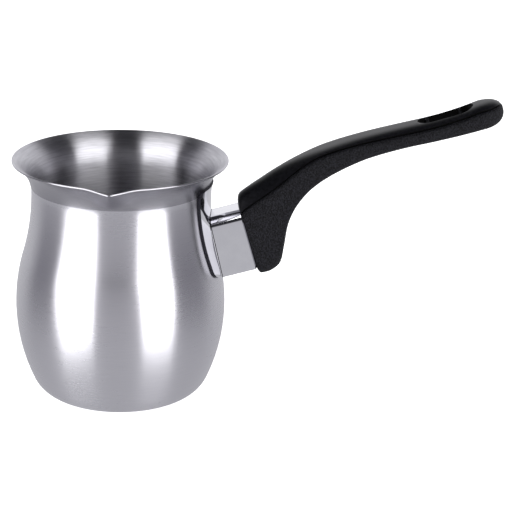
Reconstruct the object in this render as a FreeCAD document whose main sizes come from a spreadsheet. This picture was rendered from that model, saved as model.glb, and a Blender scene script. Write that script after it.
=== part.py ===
"""A Turkish coffee pot (cezve, ibrik) for the stove, modelled as the real one is put together.

A thin pot is drawn and spun from one steel blank, with a pinched pouring lip. A hat-shaped bracket
is welded to its side and carries a nut. A polished saddle flange and a ferrule sleeve hide the
bracket and keep flame off the moulded handle, and one long screw through the lug of the handle
pulls handle, sleeve and flange up against the pot.

Frame, in millimetres: the origin is the middle of the base on the pot's axis, +Z is up, the handle
points along +X and the pouring lip along -Y. The pieces along the handle are drawn in a leaning
frame, whose X runs along the screw from the pot's axis outwards.
"""
import FreeCAD
import Part
import Sketcher
import math
import os

from FreeCAD import Placement, Rotation, Vector

# ---------------------------------------------------------------- driving dimensions, mm and degrees

SIZES = {
    # the drawn pot: radii are from the pot's axis, levels are above the table
    "wall": 0.8,
    "base_thickness": 1.6,
    "foot_radius": 20.0,
    "foot_recess": 0.6,
    "corner_radius": 12.0,
    "belly_radius": 45.0,
    "belly_level": 40.5,
    "belly_arc": 80.0,
    "neck_radius": 37.8,
    "neck_level": 89.2,
    "rim_radius": 46.0,
    "rim_level": 103.7,
    # the pinched pouring lip
    "lip_reach": 50.5,
    "lip_shoulder": 41.0,
    "lip_half": 14.0,
    "lip_root": 30.0,
    "lip_foot": 37.0,
    "lip_foot_level": 92.5,
    "lip_foot_half": 0.3,
    "lip_inset": 0.6,
    "lip_inset_rise": 0.64,
    "lip_dip": 1.1,
    # the leaning frame of the handle
    "axis_level": 55.7,
    "handle_tilt": 16.5,
    "behind_wall": 5.0,
    # saddle flange
    "flange_sheet": 0.6,
    "flange_half_top": 17.2,
    "flange_half_bottom": 15.6,
    "flange_top": 95.0,
    "flange_bottom": 56.5,
    "flange_corner": 5.0,
    "collar_wall": 1.4,
    # ferrule sleeve
    "sleeve_half": 10.0,
    "sleeve_rise": 13.1,
    "sleeve_wall": 0.8,
    "sleeve_top_round": 5.4,
    "sleeve_under_round": 1.6,
    "seam_top": 43.9,
    "seam_bottom": 42.4,
    "seat": 57.6,
    # welded bracket and its nut
    "strip": 1.5,
    "strip_half": 6.0,
    "weld_gap": 0.3,
    "leg_offset": 5.0,
    "wing_end": 11.4,
    "nose": 53.0,
    "nugget_radius": 1.6,
    "nugget_side": 3.4,
    "nugget_rise": 8.8,
    "nut_half": 4.0,
    "nut_height": 4.0,
    # screw and washers
    "thread_radius": 2.5,
    "shank_radius": 2.45,
    "screw_clearance": 2.75,
    "head_radius": 4.75,
    "head_height": 3.5,
    "screw_length": 20.0,
    "drive_depth": 1.8,
    "drive_half": 0.6,
    "counterbore_radius": 5.3,
    "counterbore_floor": 65.5,
    "counterbore_reach": 30.0,
    "washer_radius": 5.0,
    "washer_thickness": 1.0,
    "spring_radius": 4.4,
    "spring_thickness": 1.2,
    "spring_gap": 1.0,
    # moulded handle
    "handle_half": 9.5,
    "spigot_clearance": 0.2,
    "back_arc": 148.0,
    "saddle_arc": 600.0,
    "nose_arc": 5.8,
    "nose_under_arc": 4.2,
    "underside_arc": 106.0,
    "throat_arc": 32.0,
    "heel_arc": 9.0,
    "edge_round": 4.0,
    "slot_middle": 150.8,
    "slot_length": 21.6,
    "slot_half": 4.5,
    "slot_end_arc": 4.500001,
    "slot_cut": 20.0,
}

# Corners of the handle's side outline in the leaning frame: out along the screw, and up.
HANDLE_CORNERS = {
    "brow": (57.6, 19.0),
    "crown": (115.0, 30.5),
    "tip": (169.3, 31.1),
    "nose_end": (175.0, 25.2),
    "tip_under": (170.8, 21.2),
    "under": (128.0, 21.9),
    "throat": (90.0, 15.6),
    "waist": (73.5, -2.0),
    "heel_back": (68.8, -11.0),
    "heel": (61.0, -16.0),
    "toe": (57.6, -15.6),
}

doc = FreeCAD.newDocument("cezve")
dims = doc.addObject("Spreadsheet::Sheet", "dims")

cells = dict(SIZES)
for corner, (along, rise) in HANDLE_CORNERS.items():
    cells[corner + "_along"] = along
    cells[corner + "_rise"] = rise
for row, (alias, value) in enumerate(cells.items(), start=1):
    dims.set(f"A{row}", alias)
    dims.set(f"B{row}", str(value))
    dims.setAlias(f"B{row}", alias)
doc.recompute()


# ---------------------------------------------------------------- drawing helpers


def new_body(label, leaning=False):
    """A PartDesign body, standing in the pot's frame or in the leaning frame of the handle."""
    body = doc.addObject("PartDesign::Body", label)
    body.Label = label
    if leaning:
        body.Placement = Placement(
            Vector(0, 0, SIZES["axis_level"]), Rotation(Vector(0, -1, 0), SIZES["handle_tilt"])
        )
        body.setExpression("Placement.Base.z", "dims.axis_level")
        body.setExpression("Placement.Rotation.Angle", "dims.handle_tilt")
    return body


def new_sketch(body, name, role, offset=None):
    """A sketch on one of the body's own origin planes, moved along its normal by an expression."""
    sketch = body.newObject("Sketcher::SketchObject", name)
    plane = next(f for f in body.Origin.OriginFeatures if f.Role == role)
    sketch.AttachmentSupport = (plane, [""])
    sketch.MapMode = "FlatFace"
    if offset:
        sketch.setExpression("AttachmentOffset.Base.z", offset)
    doc.recompute()
    return sketch


def pin(sketch, edge, end, x=None, y=None):
    """Fixes a point of an edge (end 1, 2 or its centre, 3) at expressions for its x and y."""
    point = sketch.getPoint(edge, end)
    for kind, value, expression in (("DistanceX", point.x, x), ("DistanceY", point.y, y)):
        if expression:
            number = sketch.addConstraint(Sketcher.Constraint(kind, -1, 1, edge, end, value))
            sketch.setExpression(f"Constraints[{number}]", expression)


def fix_radius(sketch, edge, expression):
    """Binds the radius of an arc or circle to an expression."""
    value = sketch.Geometry[edge].Radius
    number = sketch.addConstraint(Sketcher.Constraint("Radius", edge, value))
    sketch.setExpression(f"Constraints[{number}]", expression)


def arc(start, end, radius):
    """The shorter arc from start to end; it bulges to the right of the way for a positive radius."""
    chord = end - start
    middle = (start + end) / 2
    rise = math.sqrt(radius * radius - chord.Length ** 2 / 4)
    side = Vector(-chord.y, chord.x, 0).normalize() * math.copysign(1, radius)
    centre = middle + side * rise
    top = centre - side * abs(radius)
    return Part.Arc(start, top, end)


def outline(sketch, corners, radii):
    """A closed outline through named corners, each with an x and a y expression and plain values.

    corners is a list of (x value, y value, x expression, y expression), and radii gives, for the
    edge that leaves each corner, None for a straight edge or (signed radius, expression).
    """
    points = [Vector(x, y, 0) for x, y, _, _ in corners]
    ends = []
    for i, bend in enumerate(radii):
        start = points[i]
        end = points[(i + 1) % len(points)]
        if bend is None:
            sketch.addGeometry(Part.LineSegment(start, end))
            ends.append((1, 2))
        else:
            sketch.addGeometry(arc(start, end, bend[0]))
            ends.append((1, 2) if bend[0] > 0 else (2, 1))
    for i in range(len(points)):
        j = (i + 1) % len(points)
        sketch.addConstraint(Sketcher.Constraint("Coincident", i, ends[i][1], j, ends[j][0]))
    for i, (_, _, x, y) in enumerate(corners):
        for axis, value, expression in ((-2, corners[i][0], x), (-1, corners[i][1], y)):
            if expression is None:
                sketch.addConstraint(Sketcher.Constraint("PointOnObject", i, ends[i][0], axis))
        pin(sketch, i, ends[i][0], x, y)
    for i, bend in enumerate(radii):
        if bend is not None:
            fix_radius(sketch, i, bend[1])


def rounded_rectangle(sketch, half, rise, top, under, inset="0", shrink=0.0):
    """A rectangle about the sketch's origin with two radii, drawn inwards by the inset."""
    w = SIZES[half] - shrink
    r = SIZES[rise] - shrink
    a = SIZES[top] - shrink
    b = SIZES[under] - shrink
    corners = [
        (w - b, -r + b, b, -90),
        (w - a, r - a, a, 0),
        (-w + a, r - a, a, 90),
        (-w + b, -r + b, b, 180),
    ]
    for x, y, radius, begin in corners:
        circle = Part.Circle(Vector(x, y, 0), Vector(0, 0, 1), radius)
        sketch.addGeometry(Part.ArcOfCircle(circle, math.radians(begin), math.radians(begin + 90)))
    for i in range(4):
        j = (i + 1) % 4
        sketch.addGeometry(Part.LineSegment(sketch.getPoint(i, 2), sketch.getPoint(j, 1)))
        sketch.addConstraint(Sketcher.Constraint("Tangent", i, 2, 4 + i, 1))
        sketch.addConstraint(Sketcher.Constraint("Tangent", 4 + i, 2, j, 1))
        direction = "Vertical" if i % 2 == 0 else "Horizontal"
        sketch.addConstraint(Sketcher.Constraint(direction, 4 + i))
    pin(sketch, 4, 1, x=f"dims.{half} - {inset}")
    pin(sketch, 5, 1, y=f"dims.{rise} - {inset}")
    pin(sketch, 6, 1, x=f"-dims.{half} + {inset}")
    pin(sketch, 7, 1, y=f"-dims.{rise} + {inset}")
    for i, radius in enumerate((under, top, top, under)):
        fix_radius(sketch, i, f"dims.{radius} - {inset}")


def circle(sketch, radius, x=None, y=None, at=(0.0, 0.0)):
    """A circle whose centre is at the origin, or at the expressions for its x and y."""
    sketch.addGeometry(Part.Circle(Vector(at[0], at[1], 0), Vector(0, 0, 1), SIZES[radius]))
    if x is None and y is None:
        sketch.addConstraint(Sketcher.Constraint("Coincident", 0, 3, -1, 1))
    else:
        pin(sketch, 0, 3, x, y)
    fix_radius(sketch, 0, f"dims.{radius}")


def pad(body, sketch, length, symmetric=False, reverse=False):
    """A pad of the sketch, its length an expression."""
    feature = body.newObject("PartDesign::Pad", sketch.Name + "_pad")
    feature.Profile = sketch
    feature.SideType = "Symmetric" if symmetric else "One side"
    feature.Reversed = reverse
    feature.setExpression("Length", length)
    doc.recompute()
    return feature


def pocket(body, sketch, length, symmetric=False, reverse=False):
    """A pocket of the sketch; a pocket that takes nothing away stops the script."""
    before = body.Shape.Volume
    feature = body.newObject("PartDesign::Pocket", sketch.Name + "_pocket")
    feature.Profile = sketch
    feature.SideType = "Symmetric" if symmetric else "One side"
    feature.Reversed = reverse
    feature.setExpression("Length", length)
    doc.recompute()
    if feature.Shape.Volume > before - 0.1:
        raise RuntimeError(f"{feature.Name} cuts nothing")
    return feature


def loft(body, kind, first, second):
    """An additive or subtractive loft between two sketches."""
    feature = body.newObject(f"PartDesign::{kind}Loft", first.Name + "_loft")
    feature.Profile = first
    feature.Sections = [second]
    feature.Ruled = True
    doc.recompute()
    return feature


def turn(body, kind, sketch):
    """A revolution or groove of the sketch about the frame's Z axis."""
    feature = body.newObject(f"PartDesign::{kind}", sketch.Name + "_turn")
    feature.Profile = sketch
    feature.ReferenceAxis = (sketch, ["V_Axis"])
    feature.Angle = 360
    doc.recompute()
    return feature


def boolean(kind, label, base, tool):
    """A Part cut, fusion or common of two objects."""
    result = doc.addObject(f"Part::{kind}", label)
    result.Label = label
    if kind == "Cut":
        result.Base = base
        result.Tool = tool
    else:
        result.Shapes = [base, tool]
    doc.recompute()
    return result


# ---------------------------------------------------------------- the drawn pot

FLARE = (
    "((dims.rim_level - dims.neck_level) ^ 2 + (dims.rim_radius - dims.neck_radius) ^ 2)"
    " / (2 * (dims.rim_radius - dims.neck_radius))"
)


def half_profile(sketch, inset, expression, floor=None):
    """The pot's half outline, moved inwards everywhere by the inset: corner, belly, neck, flare."""
    corner = SIZES["corner_radius"] - inset
    belly = SIZES["belly_arc"] - inset
    bottom = SIZES[floor] if floor else inset
    neck_x = SIZES["neck_radius"] - inset
    rise = SIZES["rim_level"] - SIZES["neck_level"]
    out = SIZES["rim_radius"] - SIZES["neck_radius"]
    flare = (rise ** 2 + out ** 2) / (2 * out) + inset
    belly_centre = Vector(SIZES["belly_radius"] - SIZES["belly_arc"], SIZES["belly_level"], 0)
    drop = belly_centre.y - bottom - corner
    foot = belly_centre.x + math.sqrt((belly - corner) ** 2 - drop ** 2)
    corner_centre = Vector(foot, bottom + corner, 0)
    meet_low = belly_centre + (corner_centre - belly_centre).normalize() * belly
    gap = neck_x - belly_centre.x
    lift = SIZES["neck_level"] - belly_centre.y
    neck = (gap ** 2 + lift ** 2 - belly ** 2) / (2 * (belly - gap))
    neck_centre = Vector(neck_x + neck, SIZES["neck_level"], 0)
    meet_high = belly_centre + (neck_centre - belly_centre).normalize() * belly
    waist = Vector(neck_x, SIZES["neck_level"], 0)
    flare_x = neck_x + flare - SIZES["rim_radius"]
    rim = Vector(SIZES["rim_radius"], waist.y + math.sqrt(flare ** 2 - flare_x ** 2), 0)
    top = Vector(0, rim.y, 0)
    start = Vector(0, bottom, 0)
    toe = Vector(foot, bottom, 0)
    sketch.addGeometry(Part.LineSegment(start, toe))
    sketch.addGeometry(arc(toe, meet_low, corner))
    sketch.addGeometry(arc(meet_low, meet_high, belly))
    sketch.addGeometry(arc(meet_high, waist, -neck))
    sketch.addGeometry(arc(waist, rim, -flare))
    sketch.addGeometry(Part.LineSegment(rim, top))
    sketch.addGeometry(Part.LineSegment(top, start))
    for edge, end, other, other_end in ((0, 2, 1, 1), (1, 2, 2, 1), (2, 2, 3, 2), (3, 1, 4, 2)):
        sketch.addConstraint(Sketcher.Constraint("Tangent", edge, end, other, other_end))
    for edge, end, other, other_end in ((4, 1, 5, 1), (5, 2, 6, 1), (6, 2, 0, 1)):
        sketch.addConstraint(Sketcher.Constraint("Coincident", edge, end, other, other_end))
    for edge in (0, 5):
        sketch.addConstraint(Sketcher.Constraint("Horizontal", edge))
    sketch.addConstraint(Sketcher.Constraint("PointOnObject", 0, 1, -2))
    sketch.addConstraint(Sketcher.Constraint("PointOnObject", 5, 2, -2))
    if bottom:
        pin(sketch, 0, 2, y="dims." + floor if floor else expression)
    else:
        sketch.addConstraint(Sketcher.Constraint("PointOnObject", 0, 2, -1))
    fix_radius(sketch, 1, f"dims.corner_radius - ({expression})")
    fix_radius(sketch, 2, f"dims.belly_arc - ({expression})")
    pin(sketch, 2, 3, x="dims.belly_radius - dims.belly_arc", y="dims.belly_level")
    pin(sketch, 3, 3, y="dims.neck_level")
    pin(sketch, 3, 1, x=f"dims.neck_radius - ({expression})", y="dims.neck_level")
    fix_radius(sketch, 4, f"{FLARE} + ({expression})")
    pin(sketch, 5, 1, x="dims.rim_radius")


def lip_section(body, name, level, full, inside=False):
    """The diamond-shaped section of the pouring lip at one level, its point towards -Y.

    At the lip's foot it is tiny, at the mouth it is full; the lip's inside is the same, moved in and up.
    """
    s = SIZES
    shift = "dims.lip_inset" if inside else "0"
    move = s["lip_inset"] if inside else 0.0
    rise = "dims.lip_inset_rise" if inside else "0"
    sketch = new_sketch(body, name, "XY_Plane", f"dims.{level} + {rise}")
    if full:
        spots = [
            (0, -s["lip_reach"] + move, None, f"-dims.lip_reach + {shift}"),
            (s["lip_half"], -s["lip_shoulder"] + move, "dims.lip_half", f"-dims.lip_shoulder + {shift}"),
            (0, -s["lip_root"] + move, None, f"-dims.lip_root + {shift}"),
            (-s["lip_half"], -s["lip_shoulder"] + move, "-dims.lip_half", f"-dims.lip_shoulder + {shift}"),
        ]
    else:
        y = -s["lip_foot"] + move
        half = s["lip_foot_half"]
        level_y = f"-dims.lip_foot + {shift}"
        spots = [
            (0, y - half, None, f"{level_y} - dims.lip_foot_half"),
            (half, y, "dims.lip_foot_half", level_y),
            (0, y + half, None, f"{level_y} + dims.lip_foot_half"),
            (-half, y, "-dims.lip_foot_half", level_y),
        ]
    outline(sketch, spots, [None] * 4)
    return sketch


def make_envelope(name, inset, expression):
    """A solid of the pot's whole outer shape, moved outwards when the inset is negative."""
    body = new_body(name)
    sketch = new_sketch(body, name + "_profile", "XZ_Plane")
    half_profile(sketch, inset, expression)
    turn(body, "Revolution", sketch)
    return body


def make_pot():
    """Revolved outside, pinched lip, hollowed by a groove and the lip's own inside, recessed foot."""
    body = new_body("pot_body")
    outside = new_sketch(body, "outside", "XZ_Plane")
    half_profile(outside, 0.0, "0")
    turn(body, "Revolution", outside)
    foot = lip_section(body, "lip_foot_section", "lip_foot_level", full=False)
    mouth = lip_section(body, "lip_mouth_section", "rim_level", full=True)
    loft(body, "Additive", foot, mouth)
    inside = new_sketch(body, "inside", "XZ_Plane")
    half_profile(inside, SIZES["wall"], "dims.wall", "base_thickness")
    turn(body, "Groove", inside)
    foot = lip_section(body, "lip_inner_foot", "lip_foot_level", full=False, inside=True)
    mouth = lip_section(body, "lip_inner_mouth", "rim_level", full=True, inside=True)
    loft(body, "Subtractive", foot, mouth)
    s = SIZES
    dip = new_sketch(body, "lip_dip_cut", "YZ_Plane")
    near = (-s["rim_radius"], "-dims.rim_radius")
    tip = (-s["lip_reach"] - 1, "-dims.lip_reach - 1")
    level = (s["rim_level"], "dims.rim_level")
    dipped = (s["rim_level"] - s["lip_dip"], "dims.rim_level - dims.lip_dip")
    above = (s["rim_level"] + 1, "dims.rim_level + 1")
    spots = [(near, level), (tip, dipped), (tip, above), (near, above)]
    outline(dip, [(y[0], z[0], y[1], z[1]) for y, z in spots], [None] * 4)
    pocket(body, dip, "dims.lip_half * 2", symmetric=True)
    recess = new_sketch(body, "foot_recess_circle", "XY_Plane")
    circle(recess, "foot_radius")
    pocket(body, recess, "dims.foot_recess", reverse=True)
    return body


# ---------------------------------------------------------------- the saddle flange


def make_flange(envelope):
    """A sheet saddle that hugs the neck, with a collar that the sleeve butts against."""
    s = SIZES
    skin = make_envelope("flange_envelope", -s["flange_sheet"], "-dims.flange_sheet")
    sheet = boolean("Cut", "flange_skin", skin, envelope)
    blank = new_body("flange_blank")
    shape = new_sketch(blank, "flange_outline", "YZ_Plane")
    round_off = s["flange_corner"]
    bend = (round_off, "dims.flange_corner")
    side = (s["flange_half_bottom"], "dims.flange_half_bottom")
    flat = (side[0] - round_off, "(dims.flange_half_bottom - dims.flange_corner)")
    wide = (s["flange_half_top"], "dims.flange_half_top")
    bottom = (s["flange_bottom"], "dims.flange_bottom")
    bent = (bottom[0] + round_off, "dims.flange_bottom + dims.flange_corner")
    high = (s["flange_top"], "dims.flange_top")
    spots = [(-1, flat, bottom), (1, flat, bottom), (1, side, bent)]
    spots += [(1, wide, high), (-1, wide, high), (-1, side, bent)]
    outline(
        shape,
        [(sign * y[0], z[0], f"{sign} * {y[1]}", z[1]) for sign, y, z in spots],
        [None, bend, None, None, None, bend],
    )
    pad(blank, shape, "dims.rim_radius")
    plate = boolean("MultiCommon", "flange_plate", sheet, blank)
    collar = new_body("flange_collar", leaning=True)
    ring = new_sketch(collar, "collar_outside", "YZ_Plane", "dims.neck_radius - dims.behind_wall")
    rounded_rectangle(ring, "sleeve_half", "sleeve_rise", "sleeve_top_round", "sleeve_under_round")
    pad(collar, ring, "dims.seat - dims.neck_radius")
    seam_cut(collar, ahead=True)
    joined = boolean("MultiFuse", "flange_joined", plate, boolean("Cut", "collar_fitted", collar, envelope))
    window = new_body("flange_window", leaning=True)
    hole = new_sketch(window, "window_outline", "YZ_Plane")
    inset = s["collar_wall"]
    rounded_rectangle(
        hole, "sleeve_half", "sleeve_rise", "sleeve_top_round", "sleeve_under_round", "dims.collar_wall", inset
    )
    pad(window, hole, "dims.seat")
    return boolean("Cut", "saddle_flange", joined, window)


def seam_cut(body, ahead):
    """Trims a leaning body along the seam: ahead of it for the collar, behind it for the sleeve."""
    s = SIZES
    high = s["sleeve_rise"] + 1
    slope = (s["seam_top"] - s["seam_bottom"]) / (2 * s["sleeve_rise"])
    lean = "(dims.seam_top - dims.seam_bottom) / (2 * dims.sleeve_rise)"
    end = s["seat"] + 1 if ahead else s["neck_radius"] - 2 * s["behind_wall"]
    far = "dims.seat + 1" if ahead else "dims.neck_radius - 2 * dims.behind_wall"
    cut = new_sketch(body, body.Name + "_seam", "XZ_Plane")
    outline(
        cut,
        [
            (s["seam_bottom"] - slope, -high, f"dims.seam_bottom - {lean}", "-dims.sleeve_rise - 1"),
            (end, -high, far, "-dims.sleeve_rise - 1"),
            (end, high, far, "dims.sleeve_rise + 1"),
            (s["seam_top"] + slope, high, f"dims.seam_top + {lean}", "dims.sleeve_rise + 1"),
        ],
        [None] * 4,
    )
    pocket(body, cut, "dims.sleeve_half * 2 + 2", symmetric=True)


def make_sleeve():
    """The polished ferrule: a rounded tube from the flange's collar to the lug of the handle."""
    body = new_body("ferrule_sleeve", leaning=True)
    outside = new_sketch(body, "sleeve_outside", "YZ_Plane", "dims.neck_radius")
    rounded_rectangle(outside, "sleeve_half", "sleeve_rise", "sleeve_top_round", "sleeve_under_round")
    pad(body, outside, "dims.seat - dims.neck_radius")
    inside = new_sketch(body, "sleeve_inside", "YZ_Plane", "dims.seat")
    rounded_rectangle(
        inside, "sleeve_half", "sleeve_rise", "sleeve_top_round", "sleeve_under_round", "dims.sleeve_wall",
        SIZES["sleeve_wall"],
    )
    pocket(body, inside, "dims.seat - dims.neck_radius")
    seam_cut(body, ahead=False)
    return body


# ---------------------------------------------------------------- the welded bracket, its nut and welds


def box_outline(sketch, left, right, low, high):
    """A rectangle between four (value, expression) pairs."""
    outline(
        sketch,
        [
            (left[0], low[0], left[1], low[1]),
            (right[0], low[0], right[1], low[1]),
            (right[0], high[0], right[1], high[1]),
            (left[0], high[0], left[1], high[1]),
        ],
        [None] * 4,
    )


def make_bracket():
    """A hat-shaped strip: two wings along the pot's wall, two legs and a nose with the screw hole."""
    s = SIZES
    near = make_envelope("weld_gap_envelope", -s["weld_gap"], "-dims.weld_gap")
    far = make_envelope("bracket_envelope", -s["weld_gap"] - s["strip"], "-dims.weld_gap - dims.strip")
    skin = boolean("Cut", "bracket_skin", far, near)
    start = (s["neck_radius"] - s["behind_wall"], "dims.neck_radius - dims.behind_wall")
    wings = new_body("wing_blank", leaning=True)
    for side in (1, -1):
        blank = new_sketch(wings, f"wing_{'upper' if side > 0 else 'lower'}", "XZ_Plane")
        low = (side * s["leg_offset"], f"{side} * dims.leg_offset")
        high = (side * s["wing_end"], f"{side} * dims.wing_end")
        first, last = (low, high) if side > 0 else (high, low)
        box_outline(blank, start, (s["nose"], "dims.nose"), first, last)
        pad(wings, blank, "dims.strip_half * 2", symmetric=True)
    fitted_wings = boolean("MultiCommon", "bracket_wings", skin, wings)
    hat = new_body("bracket_hat", leaning=True)
    block = new_sketch(hat, "hat_outside", "XZ_Plane")
    rise = (s["leg_offset"] + s["strip"], "dims.leg_offset + dims.strip")
    box_outline(block, start, (s["nose"], "dims.nose"), (-rise[0], f"-({rise[1]})"), rise)
    pad(hat, block, "dims.strip_half * 2", symmetric=True)
    room = new_sketch(hat, "hat_inside", "XZ_Plane")
    begin = (start[0] - 1, "dims.neck_radius - dims.behind_wall - 1")
    end = (s["nose"] - s["strip"], "dims.nose - dims.strip")
    box_outline(room, begin, end, (-s["leg_offset"], "-dims.leg_offset"), (s["leg_offset"], "dims.leg_offset"))
    pocket(hat, room, "dims.strip_half * 2 + 2", symmetric=True)
    bore = new_sketch(hat, "nose_bore", "YZ_Plane", "dims.nose")
    circle(bore, "screw_clearance")
    pocket(hat, bore, "dims.strip")
    fitted_hat = boolean("Cut", "bracket_hat_fitted", hat, near)
    return boolean("MultiFuse", "handle_bracket", fitted_wings, fitted_hat), near


def make_welds(envelope, near):
    """Four weld nuggets that fill the gap between the bracket's wings and the pot."""
    gap = boolean("Cut", "weld_gap_skin", near, envelope)
    rods = new_body("nugget_rods", leaning=True)
    for number, (side, rise) in enumerate(((1, 1), (-1, 1), (-1, -1), (1, -1)), start=1):
        spot = new_sketch(rods, f"nugget_{number}", "YZ_Plane", "dims.neck_radius - dims.behind_wall")
        at = (side * SIZES["nugget_side"], rise * SIZES["nugget_rise"])
        circle(spot, "nugget_radius", f"{side} * dims.nugget_side", f"{rise} * dims.nugget_rise", at)
        rods.AllowCompound = True
        pad(rods, spot, "dims.nose - dims.neck_radius")
    return boolean("MultiCommon", "spot_welds", gap, rods)


def make_nut():
    """The square weld nut behind the bracket's nose."""
    body = new_body("weld_nut", leaning=True)
    blank = new_sketch(body, "nut_square", "YZ_Plane", "dims.nose - dims.strip")
    half = (SIZES["nut_half"], "dims.nut_half")
    low = (-half[0], "-dims.nut_half")
    box_outline(blank, low, half, low, half)
    pad(body, blank, "dims.nut_height", reverse=True)
    bore = new_sketch(body, "nut_bore", "YZ_Plane", "dims.nose - dims.strip")
    circle(bore, "thread_radius")
    pocket(body, bore, "dims.nut_height")
    return body


# ---------------------------------------------------------------- the handle


def side_edges(feature):
    """The names of a padded handle's edges round its two flat sides, all but those at the seat."""
    names = []
    for number, edge in enumerate(feature.Shape.Edges, start=1):
        span = edge.LastParameter - edge.FirstParameter
        spots = [edge.valueAt(edge.FirstParameter + share * span) for share in (0.05, 0.5, 0.95)]
        on_side = all(abs(abs(p.y) - SIZES["handle_half"]) < 1e-4 for p in spots)
        if on_side and spots[1].x > SIZES["seat"] + 1:
            names.append(f"Edge{number}")
    return names


def soften(body, name, edges, radius):
    """A fillet of the body's tip along named edges."""
    base = body.Tip
    feature = body.newObject("PartDesign::Fillet", name)
    feature.Base = (base, edges)
    feature.setExpression("Radius", f"dims.{radius}")
    doc.recompute()
    return feature


def make_handle():
    """One moulding: lug and grip padded from the side outline, spigot, screw bore and hanging slot."""
    s = SIZES
    body = new_body("handle", leaning=True)
    side = new_sketch(body, "side_outline", "XZ_Plane")
    bends = {
        "tip": (-s["saddle_arc"], "dims.saddle_arc"),
        "crown": (s["back_arc"], "dims.back_arc"),
        "nose_end": (s["nose_arc"], "dims.nose_arc"),
        "tip_under": (s["nose_under_arc"], "dims.nose_under_arc"),
        "throat": (-s["underside_arc"], "dims.underside_arc"),
        "waist": (-s["throat_arc"], "dims.throat_arc"),
        "heel": (s["heel_arc"], "dims.heel_arc"),
    }
    names = list(HANDLE_CORNERS)[::-1]
    corners = []
    for name in names:
        along, rise = HANDLE_CORNERS[name]
        corners.append((along, rise, f"dims.{name}_along", f"dims.{name}_rise"))
    outline(side, corners, [bends.get(name) for name in names])
    grip = pad(body, side, "dims.handle_half * 2", symmetric=True)
    soften(body, "edge_rounding", side_edges(grip), "edge_round")
    spigot = new_sketch(body, "spigot_section", "YZ_Plane", "dims.seat")
    inset = s["sleeve_wall"] + s["spigot_clearance"]
    rounded_rectangle(
        spigot, "sleeve_half", "sleeve_rise", "sleeve_top_round", "sleeve_under_round",
        "(dims.sleeve_wall + dims.spigot_clearance)", inset,
    )
    pad(body, spigot, "dims.seat - dims.nose", reverse=True)
    bore = new_sketch(body, "screw_bore", "YZ_Plane", "dims.counterbore_floor")
    circle(bore, "screw_clearance")
    pocket(body, bore, "dims.counterbore_floor - dims.nose")
    recess = new_sketch(body, "counterbore", "YZ_Plane", "dims.counterbore_floor + dims.counterbore_reach")
    circle(recess, "counterbore_radius")
    pocket(body, recess, "dims.counterbore_reach")
    slot = new_sketch(body, "hanging_slot", "XY_Plane", "dims.crown_rise + 5")
    reach = s["slot_length"] / 2 - s["slot_half"]
    ends = {
        -1: (s["slot_middle"] - reach, "dims.slot_middle - dims.slot_length / 2 + dims.slot_half"),
        1: (s["slot_middle"] + reach, "dims.slot_middle + dims.slot_length / 2 - dims.slot_half"),
    }
    # The end arcs are a hair larger than half circles, which leave the solver no direction.
    bend = (s["slot_end_arc"], "dims.slot_end_arc")
    outline(
        slot,
        [
            (ends[end][0], sign * s["slot_half"], ends[end][1], f"{sign} * dims.slot_half")
            for end, sign in ((-1, -1), (1, -1), (1, 1), (-1, 1))
        ],
        [None, bend, None, bend],
    )
    pocket(body, slot, "dims.slot_cut")
    return body


def make_screw():
    """The long pan head screw, its thread as a plain shank, with a driver slot in the head."""
    body = new_body("handle_screw", leaning=True)
    under = "dims.counterbore_floor + dims.washer_thickness + dims.spring_thickness"
    head = new_sketch(body, "screw_head", "YZ_Plane", under)
    circle(head, "head_radius")
    pad(body, head, "dims.head_height")
    shank = new_sketch(body, "screw_shank", "YZ_Plane", under)
    circle(shank, "shank_radius")
    pad(body, shank, "dims.screw_length", reverse=True)
    drive = new_sketch(body, "driver_slot", "YZ_Plane", f"{under} + dims.head_height")
    half = (SIZES["drive_half"], "dims.drive_half")
    reach = (SIZES["head_radius"] + 1, "dims.head_radius + 1")
    box_outline(drive, (-reach[0], f"-({reach[1]})"), reach, (-half[0], "-dims.drive_half"), half)
    pocket(body, drive, "dims.drive_depth")
    return body


def make_washer(label, outer, thickness, position, gap=False):
    """A plain washer, or a split spring washer with a narrow gap, round the screw."""
    body = new_body(label, leaning=True)
    disc = new_sketch(body, label + "_disc", "YZ_Plane", position)
    circle(disc, outer)
    pad(body, disc, f"dims.{thickness}")
    bore = new_sketch(body, label + "_bore", "YZ_Plane", f"{position} + dims.{thickness}")
    circle(bore, "screw_clearance")
    pocket(body, bore, f"dims.{thickness}")
    if gap:
        split = new_sketch(body, label + "_split", "YZ_Plane", f"{position} + dims.{thickness}")
        half = (SIZES["spring_gap"] / 2, "dims.spring_gap / 2")
        inner = (1.0, "1")
        past = (SIZES[outer] + 1, f"dims.{outer} + 1")
        box_outline(split, (-half[0], "-dims.spring_gap / 2"), half, inner, past)
        pocket(body, split, f"dims.{thickness}")
    return body


pot_body = make_pot()
envelope = make_envelope("pot_envelope", 0.0, "0")
flange = make_flange(envelope)
sleeve = make_sleeve()
bracket, near = make_bracket()
welds = make_welds(envelope, near)
nut = make_nut()
handle = make_handle()
screw = make_screw()
flat_washer = make_washer("flat_washer", "washer_radius", "washer_thickness", "dims.counterbore_floor")
on_washer = "dims.counterbore_floor + dims.washer_thickness"
spring_washer = make_washer("spring_washer", "spring_radius", "spring_thickness", on_washer, gap=True)
PIECES = (pot_body, flange, sleeve, bracket, welds, nut, handle, screw, flat_washer, spring_washer)

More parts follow.
